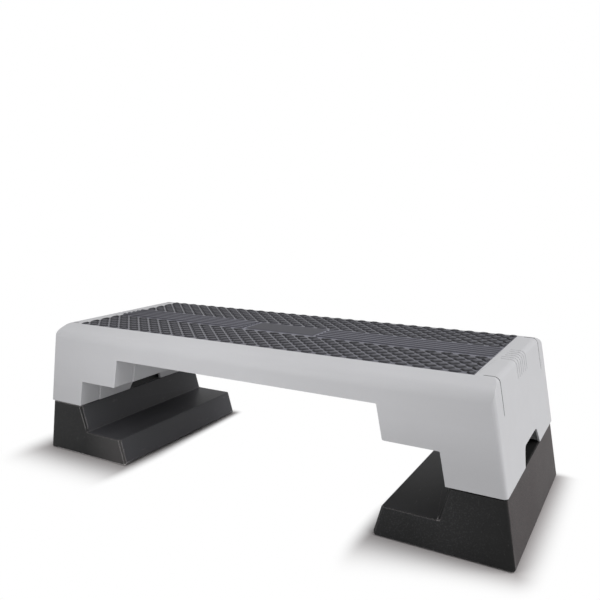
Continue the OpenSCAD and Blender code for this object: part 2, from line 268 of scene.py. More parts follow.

# %% [markdown]
# ## The risers' painted edge highlights
# The left riser's corner edges get painted highlights, pale lines as of light on their bevels, and the
# edge of the right riser's low tread gets a faint one. The edge mask knows every edge, so it is kept there
# by position and nearly taken away elsewhere, where it leaves only faint wear.

# %% Where the risers get painted highlights
end_wall_x, end_wall_fade = 430.0 * MM, 3.3 * MM
corner_y, corner_fade = 146.0 * MM, 16.7 * MM
under_tread_z, over_tread_z, tread_fade = 47.0 * MM, 53.0 * MM, 2.0 * MM
tread_edge_highlight, other_edge_wear = 0.08, 0.04


def riser_edges(paint, place, on_left, edges):
    z = part_of(paint, place, Z)
    off_tread = above(paint, z, over_tread_z, tread_fade) + below(paint, z, under_tread_z, tread_fade)
    corner = above(paint, size_of(paint, place, Y), corner_y, corner_fade)
    corner = corner * below(paint, size_of(paint, place, X), end_wall_x, end_wall_fade)
    # painted highlights on the left riser's corners and the right riser's low tread edge; other edges keep
    # faint wear
    painted_highlight = on_left * off_tread + (1 - on_left) * (1 - off_tread) * tread_edge_highlight
    return edges * (other_edge_wear + (1 - other_edge_wear) * corner * painted_highlight)


print("rubbed edges are ready")

# %% [markdown]
# ## The risers' long sides
# The long sides carry pale flecks and smudges. Near the step's right end they are darker and their flecks
# fade, and the inner half of the left riser is a paler, warmer grey. All this could be painted on an
# image. Noises that are cut off at a level, so that only their peaks show, need none.

# %% The risers' long sides
fleck_level, fleck_fade, fleck_share = 0.52, 0.111, 0.36
smudge_level, smudge_fade, smudge_share = 0.45, 0.333, 0.22
fleck_grey, paler_grey = grey(0.045, 0.05), grey(0.056, -0.06)
darker_from_x, paler_from_x, patch_fade = 360.0 * MM, -350.0 * MM, 80.0 * MM
darker_share, least_paleness = 0.85, 0.6


def fleck_mask(paint, specks):
    return above(paint, specks, fleck_level, fleck_fade)


def riser_sides(paint, place, on_left, noises, body):
    drift, specks, tone = noises
    x = part_of(paint, place, X)
    smudge = above(paint, drift, smudge_level, smudge_fade) * smudge_share
    pale = clamp01(paint, fleck_mask(paint, specks) * fleck_share + smudge)
    body = paint.mix(pale, body, fleck_grey)
    # darker near the step's right end
    body = paint.mix(above(paint, x, darker_from_x, patch_fade) * darker_share, body, black)
    # a paler, warmer grey on the inner half of the left riser
    paler_half = on_left * above(paint, x, paler_from_x, patch_fade)
    paler_half = paler_half * (least_paleness + tone * (1 - least_paleness))
    return paint.mix(paler_half, body, paler_grey)


print("long sides are ready")

# %% [markdown]
# ## The risers' faces that look along the step
# These are the treads, the stair walls under them and the outer end walls. Where they lie inside the end
# walls they are painted paler than the long sides, as painted light: the left riser's faces, which look
# towards the key lamp, are much paler, its low wall most of all, and the right riser's tread is darker
# towards the front, as painted shade. The outer end walls hold warm dust, with bare black between its
# flecks. The lug, which stands above all of these, stays black. Slots could give each face a finish of its
# own, but with hard borders, so masks tell the faces apart.

# %% The risers' ends and treads
lug_z, lug_fade, end_contrast = 99.0 * MM, 1.0 * MM, 1.5
low_wall_z, low_wall_fade, low_wall_share = 48.0 * MM, 3.0 * MM, 0.6
left_from_y, left_over, right_from_y, right_over = -250.0 * MM, 400.0 * MM, -120.0 * MM, 200.0 * MM
left_lit_greys, low_wall_lit_grey = (grey(0.051, 0.09), grey(0.069, 0.09)), grey(0.101, 0.09)
right_shaded_greys, back_tread_lit_grey = (grey(0.010, 0.09), grey(0.016, 0.09)), grey(0.034, 0.09)
bare_black, warm_dust = grey(0.004, -1.5), grey(0.020, -0.9)


def end_faces(paint, place):
    """Two masks on a riser: its inner faces and treads, and its outer end wall."""
    facing = paint.add("TexCoord", out="Normal")
    endward = clamp01(paint, 1 - size_of(paint, facing, Y) * end_contrast)
    inside = below(paint, size_of(paint, place, X), end_wall_x, end_wall_fade)
    below_lug = below(paint, part_of(paint, place, Z), lug_z, lug_fade)
    return endward * inside * below_lug, endward * (1 - inside)


def riser_ends(paint, place, on_left, noises, body):
    _, specks, tone = noises
    y, z = part_of(paint, place, Y), part_of(paint, place, Z)
    low_wall = below(paint, z, low_wall_z, low_wall_fade) * above(paint, y, left_from_y, left_over)
    # painted light on the left riser's inner faces, which look towards the key lamp
    left = paint.mix(low_wall * low_wall_share, paint.mix(tone, *left_lit_greys), low_wall_lit_grey)
    to_back = above(paint, y, right_from_y, right_over)
    # painted shade on the right riser's inner faces, darker towards the front
    right = paint.mix(to_back, paint.mix(tone, *right_shaded_greys), back_tread_lit_grey)
    inside, outside = end_faces(paint, place)
    body = paint.mix(inside, body, paint.mix(on_left, right, left))
    return paint.mix(outside, body, paint.mix(fleck_mask(paint, specks), bare_black, warm_dust))


print("ends and treads are ready")

# %% [markdown]
# ## All of a riser's marks
# The three kinds of mark are laid over each other. Where the right leg stands on its riser, a thin
# dark seam runs along the riser's upper edge, dull and black because no light gets in. A real gap
# would change the shape, so a mask by height draws the seam.

# %% Marks on the risers
seam_z, seam_fade, seam_dulling = 96.3 * MM, 0.7 * MM, 0.5


def riser_marks(paint, place, body, noises, edges):
    on_left = 1 - on_right(paint, place)
    edges = riser_edges(paint, place, on_left, edges)
    body = riser_sides(paint, place, on_left, noises, body)
    body = riser_ends(paint, place, on_left, noises, body)
    seam = above(paint, part_of(paint, place, Z), seam_z, seam_fade) * (1 - on_left)
    return paint.mix(seam, body, black), edges, seam * seam_dulling


print("marks of the risers are ready")

# %% [markdown]
# ## One recipe for both plastics
# Deck and risers are mouldings of the same kind of plastic, so grain, drift, scratches and edge wear are
# common to both, and one recipe saves writing them twice. On the risers, the pale edges are mostly painted
# highlights. It is handed the function that adds the piece's own marks, which returns the colour, the
# edges that get wear and painted highlights, and what makes the surface dull. Etched grain is far too fine
# for the mesh, so it is a bump.

# %% Moulded plastic
drift_scale, speck_scale, pit_share, grain_depth_share = 7.0, 420.0, 0.9, 0.08
flow_stretch, scratch_stretch = (4.0, 40.0, 40.0), (260.0, 30.0, 90.0)
tone_spread, drift_tone, flow_tone = 0.25, 0.10, 0.05
scratch_level, scratch_contrast = 0.62, 8
patch_contrast, patch_offset = 3, 0.2
rough_by_pits, rough_by_drift, rough_by_scratches, smooth_by_wear = 0.16, 0.10, 0.2, 0.08
speck_height, scratch_height = 0.5, 0.2
plastic_ior = 1.49


def moulded_plastic(name, own_marks, level, tint, roughness, grain_mm, speckle, scuff, wear_and_highlight_strength, edge_mm,
                    wear_and_highlight_colour, relief, mirror):
    paint = Paint(name)
    place = position(paint)
    drift = noise(paint, place, drift_scale, detail=3.0)
    flow = noise(paint, stretched(paint, place, flow_stretch), scale=1.0, detail=3.0)
    pits = noise(paint, place, pit_share / (grain_mm * MM), detail=2.0, rough=0.6)
    specks = noise(paint, place, speck_scale, detail=3.0, rough=0.7)
    along = stretched(paint, place, scratch_stretch)
    scratches = noise(paint, along, scale=1.0, detail=6.0, rough=0.75)
    edges = edge_mask(paint, edge_mm * MM)

    shade = 1 + (drift - 0.5) * drift_tone + (flow - 0.5) * flow_tone
    shade = shade + (specks - 0.5) * speckle + (pits - 0.5) * speckle
    tone = clamp01(paint, (shade - (1 - tone_spread)) * (0.5 / tone_spread))
    body = paint.mix(tone, grey(level * (1 - tone_spread), tint), grey(level * (1 + tone_spread), tint))
    body, edges, dull = own_marks(paint, place, body, (drift, specks, tone), edges)
    marks = clamp01(paint, (scratches - scratch_level) * scratch_contrast) * scuff
    patches = clamp01(paint, specks * patch_contrast - patch_offset)
    # pale scratches and worn edges, and on the risers painted edge highlights
    wear_and_highlight = clamp01(paint, marks + edges * wear_and_highlight_strength * patches)

    rough = roughness + (pits - 0.5) * rough_by_pits + (drift - 0.5) * rough_by_drift
    rough = rough + marks * rough_by_scratches - edges * smooth_by_wear + dull
    height = (pits - 0.5) + (specks - 0.5) * speck_height + marks * scratch_height
    depth = grain_mm * grain_depth_share * MM
    bump = paint.add("Bump", None, {"Strength": relief, "Distance": depth, "Height": height})
    shader = paint.add("BsdfPrincipled", None, {
        "Base Color": paint.mix(wear_and_highlight, body, wear_and_highlight_colour), "Roughness": clamp01(paint, rough),
        "Normal": bump, "IOR": plastic_ior, "Specular IOR Level": mirror})
    return paint.finish(shader)


print("the recipe for plastic is ready")

# %% [markdown]
# ## The deck's plastic
# The deck is injection-moulded polypropylene: pale neutral grey, satin, with the fine leathery
# grain of an etched mould. It is even from afar, so the colour only drifts by a few hundredths,
# and the grain is a bump a few hundredths of a millimetre deep. Use polishes the outer edges and
# leaves faint scuffs, which are paler and rougher.

# %% Pale plastic
deck_plastic = moulded_plastic(
    "deck_plastic", deck_marks, level=0.53, tint=0.032, roughness=0.48, grain_mm=0.9, speckle=0.05,
    scuff=0.18, wear_and_highlight_strength=0.3, edge_mm=1.5, wear_and_highlight_colour=grey(0.68, 0.04), relief=0.35, mirror=0.5)
print("made", deck_plastic.name)

# %% [markdown]
# ## The risers' plastic
# The risers are the same kind of moulding in near-black. Their mould is coarser, which breaks the
# light into fine specks. So it is the same recipe with a deeper grain, stronger specks and a
# weaker mirror, because black plastic would otherwise show too much of the white room.

# %% Black plastic
# on the risers, the pale edge colour paints highlights on the edges the masks keep
riser_plastic = moulded_plastic(
    "riser_plastic", riser_marks, level=0.007, tint=0.06, roughness=0.44, grain_mm=1.3, speckle=0.6,
    scuff=0.10, wear_and_highlight_strength=3.0, edge_mm=2.2, wear_and_highlight_colour=grey(0.70, -0.05), relief=0.9, mirror=0.31)
print("made", riser_plastic.name)

# %% [markdown]
# ## The tread's layout
# The tread's finish follows its pattern, so the pattern's sizes come first: eight rows of knobs
# in a band on either side, five long ribs between the bands, and a low plain plate in the middle
# between the ribs' ends. The outer sizes could be typed in too, but they are asked of the CAD
# tread's box, so that the new pieces fill exactly its place.

# %% Sizes of the tread
tread_low, tread_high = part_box("tread_mat")
tread_top = tread_high.z
half_length, half_depth = tread_high.x, tread_high.y
knob_height = 2.5 * MM
valley_z = tread_top - knob_height
row_depth, row_count = 13.0 * MM, 8
band_inner = half_depth - row_count * row_depth
plate_x, plate_y, plate_rise = 71.0 * MM, 29.1 * MM, 2.0 * MM
print("valleys at", round(valley_z, 4), "m, a band starts at", round(band_inner, 4), "m")

# %% [markdown]
# ## The tread's rubber
# The tread is dark grey rubber. The flat valleys between its knobs keep the smooth skin of the mould and
# hold a little dust, and they are also painted paler as a painted sheen, so they look light. The knobs are
# rubbed by shoes: their tops are a little paler and duller, from wear and a painted highlight, and their
# flanks are painted nearly black as painted shade. Each piece could have a material of its own, but one
# does for all: height above the valleys, the slope of the surface and the place along and across the tread
# tell them apart.

# %% Tread rubber
knob_greys, rib_grey = (grey(0.055, 0.22), grey(0.073, 0.22)), grey(0.165, 0.22)
top_wear_and_highlight_grey = grey(0.115, 0.18)
flank_shade_grey, plate_greys = grey(0.003, 0.3), (grey(0.052, 0.18), grey(0.080, 0.18))
knob_valley_sheen_grey, rib_valley_sheen_grey = grey(0.15, 0.20), grey(0.20, 0.20)
level_enough, flank_contrast, rib_flank_share, flank_shade_share = 0.982, 12, 0.7, 0.95
top_from, top_wear_and_highlight_share, top_patch_contrast, top_patch_offset = 0.8, 0.6, 1.6, 0.3
settled_share, settled_fall, settled_from, settled_contrast = 0.15, 1.4, 0.45, 3
valley_fall, knob_valley_share = 3, 0.6
zone_fade = 1.0 * MM
rubber_roughness, skin_roughness = 0.34, 0.10
rough_by_plate, rough_by_height, rough_by_wear, rough_by_dust, rough_by_flank = 0.2, 0.16, 0.08, 0.08, 0.4
rubber_ior, rubber_mirror = 1.5, 0.45


def tread_rubber(name):
    paint = Paint(name)
    place = position(paint)
    height = clamp01(paint, (part_of(paint, place, Z) - valley_z) * (1 / knob_height))
    drift = noise(paint, place, scale=11.0, detail=4.0, rough=0.6)
    dust = noise(paint, place, scale=55.0, detail=5.0, rough=0.65)
    skin = noise(paint, place, scale=1600.0)

    on_knobs = above(paint, size_of(paint, place, Y), band_inner, zone_fade)
    plate = below(paint, size_of(paint, place, X), plate_x + zone_fade, 2 * zone_fade)
    plate = plate * (1 - on_knobs)
    upward = part_of(paint, paint.add("NewGeometry", out="Normal"), Z)
    flank = clamp01(paint, (level_enough - upward) * flank_contrast)
    flank = flank * (rib_flank_share + on_knobs * (1 - rib_flank_share))
    # knob tops: paler from wear and a painted highlight
    wear_and_highlight = above(paint, height, top_from, 1 - top_from)
    wear_and_highlight = wear_and_highlight * clamp01(paint, drift * top_patch_contrast - top_patch_offset)
    settled = clamp01(paint, (dust - settled_from) * settled_contrast)
    settled = settled * clamp01(paint, 1 - height * settled_fall)
    # painted sheen: the flat valleys are painted paler, and the settled dust adds to them
    valley_sheen = clamp01(paint, 1 - height * valley_fall) * (1 - on_knobs * (1 - knob_valley_share))

    body = paint.mix(1 - on_knobs, paint.mix(drift, *knob_greys), rib_grey)
    body = paint.mix(wear_and_highlight * top_wear_and_highlight_share, body, top_wear_and_highlight_grey)
    # painted shade: the steep flanks are painted nearly black
    body = paint.mix(flank * flank_shade_share, body, flank_shade_grey)
    body = paint.mix(plate, body, paint.mix(drift, *plate_greys))
    valley_sheen_and_dust_colour = paint.mix(on_knobs, rib_valley_sheen_grey, knob_valley_sheen_grey)
    colour = paint.mix(valley_sheen + settled * settled_share, body, valley_sheen_and_dust_colour)

    rough = rubber_roughness + plate * rough_by_plate + height * rough_by_height
    rough = rough + wear_and_highlight * rough_by_wear + settled * rough_by_dust
    rough = rough + flank * rough_by_flank + (skin - 0.5) * skin_roughness
    bump = paint.add("Bump", None, {"Strength": 0.3, "Distance": 0.06 * MM, "Height": skin + dust * 0.5})
    shader = paint.add("BsdfPrincipled", None, {
        "Base Color": colour, "Roughness": clamp01(paint, rough), "Normal": bump,
        "IOR": rubber_ior, "Specular IOR Level": rubber_mirror})
    return paint.finish(shader)


rubber = tread_rubber("tread_rubber")
print("made", rubber.name)

# %% [markdown]
# ## The feet's rubber
# Feet and pads are plain black rubber, matte and a little dusty. The tread's finish could be used
# again, but it is tied to the tread's heights. These pieces are mostly hidden, so one noise for
# the dust and one for the skin are enough.

# %% Foot rubber
dust_level, dust_contrast = 0.4, 2.5
clean_foot_grey, dusty_foot_grey = grey(0.014), grey(0.035, -0.03)
foot_roughness, foot_skin_roughness, foot_mirror = 0.62, 0.2, 0.4


def foot_rubber_finish(name):
    paint = Paint(name)
    place = position(paint)
    drift = noise(paint, place, scale=120.0, detail=4.0, rough=0.6)
    skin = noise(paint, place, scale=2200.0)
    dusty = clamp01(paint, (drift - dust_level) * dust_contrast)
    bump = paint.add("Bump", None, {"Strength": 0.4, "Distance": 0.05 * MM, "Height": skin + drift})
    shader = paint.add("BsdfPrincipled", None, {
        "Base Color": paint.mix(dusty, clean_foot_grey, dusty_foot_grey),
        "Roughness": clamp01(paint, foot_roughness + (skin - 0.5) * foot_skin_roughness), "Normal": bump,
        "IOR": rubber_ior, "Specular IOR Level": foot_mirror})
    return paint.finish(shader)


foot_rubber = foot_rubber_finish("foot_rubber")
print("made", foot_rubber.name)

# %% [markdown]
# ## Flat faces that have to stay triangles
# The CAD nodes already have the mouldings' shape, so they stay as they are and get modifiers. One
# of these, a planar Decimate, turns each flat face back into one polygon. But a polygon can't have
# holes, the ribs' lower face is full of them, and the stair walls are combs between the ribs.
# Triangles could be built anew there. It is simpler to hold on to the old ones: Decimate never
# joins faces of different material slots, so neighbours get different slots of one finish.

# %% Keep the triangles that would make bad polygons
slot_count = 4
looks_down, looks_along = -0.9, 0.8
stair_walls_to_x = 420.0 * MM


def keep_triangles(mesh):
    """Gives the triangles that look down, and those of the stair walls, slots of their own."""
    users = {}
    for polygon in mesh.polygons:
        for edge in polygon.edge_keys:
            users.setdefault(edge, []).append(polygon.index)
    given = {}
    for polygon in mesh.polygons:
        stair_wall = abs(polygon.normal.x) > looks_along and abs(polygon.center.x) < stair_walls_to_x
        if polygon.normal.z < looks_down or stair_wall:
            taken = {given.get(other) for edge in polygon.edge_keys for other in users[edge]}
            given[polygon.index] = min(set(range(slot_count)) - taken)
            polygon.material_index = given[polygon.index]
    return len(given)


print("slots of one finish:", slot_count)

# %% [markdown]
# ## Mouldings with softened edges
# A mould never leaves a knife edge. CAD could round every edge, at the price of much heavier files.
# Here, Weld joins the faces that the file keeps apart, Decimate clears the flat faces, and Bevel
# rounds the edges that are left. Weighted Normal keeps the flat faces flat, so that only the narrow
# bevels shade smoothly.

# %% Soften the deck and the risers
deck_edge, riser_edge = 0.5 * MM, 0.6 * MM
weld_reach = 0.01 * MM
flat_within, round_from = math.radians(0.6), math.radians(32)


def soften(node, finish, radius):
    piece = frame["nodes"][node]
    piece.data.materials.clear()
    for _ in range(slot_count):
        piece.data.materials.append(finish)
    print("kept", keep_triangles(piece.data), "triangles of", node)
    piece.data.polygons.foreach_set("use_smooth", [True] * len(piece.data.polygons))
    weld = piece.modifiers.new("join faces", "WELD")
    weld.merge_threshold = weld_reach
    planar = piece.modifiers.new("clear flat faces", "DECIMATE")
    planar.decimate_type = "DISSOLVE"
    planar.angle_limit = flat_within
    planar.delimit = {"NORMAL", "MATERIAL"}
    bevel = piece.modifiers.new("round edges", "BEVEL")
    bevel.width = radius
    bevel.segments = 2
    bevel.limit_method = "ANGLE"
    bevel.angle_limit = round_from
    bevel.use_clamp_overlap = False
    bevel.miter_outer = "MITER_ARC"
    normals = piece.modifiers.new("flat faces stay flat", "WEIGHTED_NORMAL")
    normals.weight = 50
    print("softened", node, "by", round(radius / MM, 2), "mm")


soften("deck_shell", deck_plastic, deck_edge)
for riser in ("left_riser", "right_riser"):
    soften(riser, riser_plastic, riser_edge)

# %% [markdown]
# ## Building meshes from rings
# Most pieces below are stacks of rings: an outline is repeated at several heights and sizes, and
# the rings are joined by quads. Blender's own primitives could be scaled and joined instead, but
# one helper that keeps the lists of points and faces puts hundreds of knobs into one mesh at once.
# Two more give the plainest rings.

# %% A heap of rings
class Heap:
    """Points and faces of one mesh in the making."""

    def __init__(self):
        self.points = []
        self.faces = []

    def rings(self, rings, close_start=True):
        """Joins rings of the same number of points, given from the bottom up, anticlockwise."""
        first, count = len(self.points), len(rings[0])
        for ring in rings:
            self.points.extend(ring)
        for level in range(len(rings) - 1):
            low = first + level * count
            for i in range(count):
                j = (i + 1) % count
                self.faces.append((low + i, low + j, low + count + j, low + count + i))
        if close_start:
            self.faces.append(tuple(first + i for i in reversed(range(count))))
        last = first + (len(rings) - 1) * count
        self.faces.append(tuple(last + i for i in range(count)))

    def piece(self, name, finish, slot, body, node, sharp_deg):
        mesh = bpy.data.meshes.new(name)
        mesh.from_pydata([tuple(p) for p in self.points], [], self.faces)
        mesh.materials.append(finish)
        mesh.polygons.foreach_set("use_smooth", [True] * len(mesh.polygons))
        mesh.set_sharp_from_angle(angle=math.radians(sharp_deg))
        made = bpy.data.objects.new(name, mesh)
        bpy.context.scene.collection.objects.link(made)
        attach(made, body)
        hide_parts(node)
        print("made", name, "with", len(self.points), "points for", node)


def rectangle(x, y, z):
    """A ring of the corners of a rectangle, from half its length and half its depth."""
    return [(-x, -y, z), (x, -y, z), (x, y, z), (-x, y, z)]


def circle(radius, z, steps, cx=0.0, cy=0.0):
    angles = [math.tau * i / steps for i in range(steps)]
    return [(cx + radius * math.cos(a), cy + radius * math.sin(a), z) for a in angles]


print("rings can be made and joined")

# %% [markdown]
# ## Two round sections
# Moulded rubber is never sharp. A dome rises steeply at its edge and suits a rounded edge or a
# nose. A pillow rises gently all the way and suits a knob worn by shoes. Both are given as steps
# from the edge to the middle, so that the rings of any outline can follow them.

# %% Dome and pillow
quarter_circle = 2.0


def dome(steps, fullness):
    """Pairs (share of the half-width, share of the height) up a superellipse, from edge to middle."""
    pairs = []
    for i in range(steps + 1):
        angle = math.pi / 2 * i / steps
        pairs.append((math.cos(angle) ** (2 / fullness), math.sin(angle) ** (2 / fullness)))
    return pairs


def pillow(steps, fullness):
    """The same pairs for a gently sloping hump, whose height falls off as a power of the half-width."""
    return [(1 - i / steps, 1 - (1 - i / steps) ** fullness) for i in range(steps + 1)]


print("a dome in four steps:", [(round(a, 2), round(b, 2)) for a, b in dome(4, quarter_circle)])
print("a pillow in four steps:", [(round(a, 2), round(b, 2)) for a, b in pillow(4, 2.0)])

# %% [markdown]
# ## The tread's sheet
# The tread is one moulded sheet let into the deck. Its base is flat, with a small round all
# the way along its upper edge. A bevelled cube would do, but rings need no modifier, and the
# knobs and ribs are built the same way next and stand in it.

# %% Sheet
edge_round, edge_steps = 0.5 * MM, 3
sheet_sharp_deg = 60

sheet = Heap()
levels = [(0.0, tread_low.z)]
for share, rise in dome(edge_steps, quarter_circle):
    levels.append((edge_round * (1 - share), valley_z - edge_round * (1 - rise)))
sheet.rings([rectangle(half_length - inset, half_depth - inset, z) for inset, z in levels])
sheet.piece("tread_sheet", rubber, "tread_rubber", "deck", "tread_mat", sheet_sharp_deg)

# %% [markdown]
# ## The tread's knobs
# On either side lies a band of eight rows of diamonds, each row half a pitch along from the one
# before. Seen from above, a knob is a square with round corners, turned onto its tip. Knobs that
# pass the band's edge are cut straight there, as the mould cuts them. An Array modifier could
# repeat one knob but can't cut it, so code clips the outlines.

# %% Outlines of the knobs
knob_pitch = 25.8 * MM
valley_width = 1.8 * MM
knob_side = math.hypot(knob_pitch / 2, row_depth) - valley_width
knob_corner, arc_steps = 4.5 * MM, 4
edge_gap = 0.2 * MM


def diamond(x, y):
    """A square with round corners, standing on its tip at (x, y)."""
    straight = knob_side / 2 - knob_corner
    outline = []
    for quarter in range(4):
        middle = math.pi / 2 * quarter + math.pi / 4
        cx = math.sqrt(2) * straight * math.cos(middle)
        cy = math.sqrt(2) * straight * math.sin(middle)
        for step in range(arc_steps + 1):
            angle = math.pi / 2 * (quarter + step / arc_steps)
            px, py = cx + knob_corner * math.cos(angle), cy + knob_corner * math.sin(angle)
            turned = ((px - py) / math.sqrt(2), (px + py) / math.sqrt(2))
            outline.append((x + turned[0], y + turned[1]))
    return outline


def cut(outline, axis, limit, keep):
    """The part of an outline on one side of a line: keep is 1 for below the limit, -1 for above."""
    kept = []
    for i, point in enumerate(outline):
        before = outline[i - 1]
        inside, was_inside = keep * (limit - point[axis]) >= 0, keep * (limit - before[axis]) >= 0
        if inside != was_inside:
            t = (limit - before[axis]) / (point[axis] - before[axis])
            kept.append(tuple(b + (p - b) * t for b, p in zip(before, point)))
        if inside:
            kept.append(point)
    return kept


def in_far_band(outline):
    """What is left of an outline within the edges of the far band."""
    outline = cut(outline, X, half_length - edge_gap, 1)
    outline = cut(outline, Y, half_depth - edge_gap, 1)
    outline = cut(outline, X, -half_length + edge_gap, -1)
    return cut(outline, Y, band_inner, -1)


print("a knob's side is", round(knob_side / MM, 2), "mm")

# %% [markdown]
# ## Raising the knobs
# A knob is a small pillow, which rises gently from the valley to a narrow top. Displacement could
# raise it out of the sheet, but would need a very fine mesh for sharp valleys. Rings that draw in
# towards the knob's middle need few points. The near band is the far one mirrored.

# %% Raise the knobs
knob_steps, knob_fullness, knob_sharp_deg = 6, 2.3, 70
top_share = 0.05
sunk = 0.3 * MM
least_width = 3 * MM


def extent(outline, axis):
    places = [point[axis] for point in outline]
    return min(places), max(places)


def wide_enough(outline):
    """Whether an outline still has an area, and isn't a mere sliver of a knob."""
    if len(outline) < 3:
        return False
    spans = [high - low for low, high in (extent(outline, X), extent(outline, Y))]
    return min(spans) >= least_width


def knob_rings(outline):
    mx, my = sum(extent(outline, X)) / 2, sum(extent(outline, Y)) / 2
    levels = [(1.0, valley_z - sunk)]
    for share, rise in pillow(knob_steps, knob_fullness)[:-1]:
        levels.append((share, valley_z + knob_height * rise))
    levels.append((top_share, tread_top))
    return [[(mx + (x - mx) * share, my + (y - my) * share, z) for x, y in outline]
            for share, z in levels]


knobs = Heap()
knob_count = 0
across = math.ceil(half_length / knob_pitch)
for row in range(row_count):
    row_y = half_depth - row_depth * (row + 0.5)
    shift = knob_pitch / 2 if row % 2 == 0 else 0.0
    for i in range(-across, across + 1):
        far = in_far_band(diamond(i * knob_pitch + shift, row_y))
        if wide_enough(far):
            near = [(x, -y) for x, y in reversed(far)]
            knobs.rings(knob_rings(near), close_start=False)
            knobs.rings(knob_rings(far), close_start=False)
            knob_count += 2
print("knobs:", knob_count)
knobs.piece("tread_knobs", rubber, "tread_rubber", "deck", "tread_mat", knob_sharp_deg)

# %% [markdown]
# ## The tread's long ribs
# Between the bands run five long ribs on either side of the plain plate. A rib is a rounded bar
# with a flatter top than a knob. Towards the plate it shrinks over its last few millimetres to a
# round nose. A curve with a bevel would make the bar, but not the nose, so it is a row of sections.

# %% Ribs
rib_count, rib_pitch, rib_width = 5, 12.55 * MM, 9.6 * MM
rib_steps, rib_fullness = 6, 3.4
rib_start, nose, nose_steps = 75.0 * MM, 3.0 * MM, 4
end_slope, end_share, nose_tip = 0.6 * MM, 0.85, 0.05
ribs = Heap()


def rib_section(x, y, share):
    """The rib's section at x: an arch from its near foot over the top to its far foot."""
    arch = pillow(rib_steps, rib_fullness)
    near = [(x, y - rib_width / 2 * a * share, valley_z + knob_height * b * share) for a, b in arch]
    far = [(x, y + rib_width / 2 * a * share, valley_z + knob_height * b * share) for a, b in arch[-2::-1]]
    feet = [(x, y + rib_width / 2 * share, valley_z - sunk),
            (x, y - rib_width / 2 * share, valley_z - sunk)]
    return near + far + feet


for side in (-1, 1):
    for i in range(rib_count):
        y = (i - (rib_count - 1) / 2) * rib_pitch
        end = half_length - edge_gap
        places = []
        for share, width in dome(nose_steps, quarter_circle):
            places.append((rib_start + nose * (1 - share), max(width, nose_tip)))
        places.append((end - end_slope, 1.0))
        places.append((end, end_share))
        sections = [rib_section(side * x, y, share) for x, share in places]
        ribs.rings(sections[::-1] if side < 0 else sections)
ribs.piece("tread_ribs", rubber, "tread_rubber", "deck", "tread_mat", knob_sharp_deg)

# %% [markdown]
# ## The plain plate
# The middle of the tread has a low plain plate between the ends of the ribs. Its edges slope, so
# that no foot catches on it: they rise like the foot of a pillow over a few millimetres. It needs
# only rectangles, each a little smaller and higher than the one below.

# %% Plate
plate_slope, plate_steps, plate_fullness, plate_sunk_share = 5.0 * MM, 6, 2.0, 0.15
plate = Heap()
plate_rings = []
for share, rise in [(1.0, -plate_sunk_share)] + pillow(plate_steps, plate_fullness):
    inset = plate_slope * (1 - share)
    plate_rings.append(rectangle(plate_x - inset, plate_y - inset, valley_z + plate_rise * rise))
plate.rings(plate_rings)
plate.piece("tread_panel", rubber, "tread_rubber", "deck", "tread_mat", sheet_sharp_deg)

# %% [markdown]
# ## Feet and pads
# Each corner of a riser stands on a round rubber foot, and each leg of the deck has two like it as
# pads. Moulded rings on the underside grip the floor. They are turned shapes. A Screw modifier
# could spin one outline round, and rings do the same: each point of the outline becomes a circle
# at its radius and height.

# %% Turn the feet
turn_steps, foot_sharp_deg = 48, 35
ring_count, ring_depth, ring_slope = 3, 0.5 * MM, 0.15
foot_middle, foot_round = 0.4 * MM, 0.5 * MM
disc_thickness, disc_chamfer = 4.0 * MM, 0.2 * MM
stem_radius, stem_fillet, stem_chamfer = 4.0 * MM, 0.3 * MM, 0.6 * MM


def foot_outline(radius, low, high):
    """Pairs (radius, height) from the middle of the underside out, over the disc and up the stem."""
    outline = [(foot_middle, low + foot_middle)]
    step = (radius - 2 * foot_round) / (2 * ring_count + 1)
    for i in range(1, 2 * ring_count + 1):
        depth = 0.0 if i % 2 else ring_depth
        outline.append((step * (i - ring_slope), low + ring_depth - depth))
        outline.append((step * (i + ring_slope), low + depth))
    for share, rise in dome(edge_steps, quarter_circle)[::-1]:
        outline.append((radius - foot_round * (1 - share), low + foot_round * (1 - rise)))
    outline.append((radius, low + disc_thickness - disc_chamfer))
    outline.append((radius - disc_chamfer, low + disc_thickness))
    outline.append((stem_radius + stem_fillet, low + disc_thickness))
    outline.append((stem_radius, low + disc_thickness + stem_fillet))
    outline.append((stem_radius, high - stem_chamfer))
    outline.append((stem_radius - stem_chamfer, high))
    return outline


def turn(node, body):
    low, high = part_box(node)
    cx, cy = (low.x + high.x) / 2, (low.y + high.y) / 2
    outline = foot_outline((high.x - low.x) / 2, low.z, high.z)
    foot = Heap()
    foot.rings([circle(radius, z, turn_steps, cx, cy) for radius, z in outline])
    foot.piece(node + "_turned", foot_rubber, "foot_rubber", body, node, foot_sharp_deg)


turned_count = 0
for body, nodes in frame["record"]["behaviour"]["bodies"].items():
    for node in nodes:
        if "foot" in node or "pad" in node:
            turn(node, body)
            turned_count += 1
print("feet and pads turned:", turned_count)

# %% [markdown]
# ## The floor's finish
# The step stands on plain white paper that runs into a white background. A shadow catcher would
# leave the backdrop to another program, and a floor bright enough to be white would light the step
# from below. So close to the risers the floor is paper that keeps their soft shadow, further off
# the camera alone sees plain white, and to everything else the floor is a pale grey. The distance
# from the nearer riser's rectangle tells the two apart, and it grows faster where the light
# reaches in: at the right end, under the deck and behind the step.

# %% How fast the floor turns white
shadow_reach, contact_reach = 90.0 * MM, 75.0 * MM
right_end_haste, left_end_haste = 1.9, 1.2
right_front_haste, left_front_haste, back_haste = 0.70, 0.75, 3.5
corner_from_x, corner_over, corner_haste = 250.0 * MM, 200.0 * MM, 0.6
under_haste, under_from_y, under_over, far_under_haste = 2.6, -100.0 * MM, 270.0 * MM, 2.0


def at_least_0(paint, wire):
    return paint.add("Math", {"operation": "MAXIMUM"}, {0: wire, 1: 0.0})


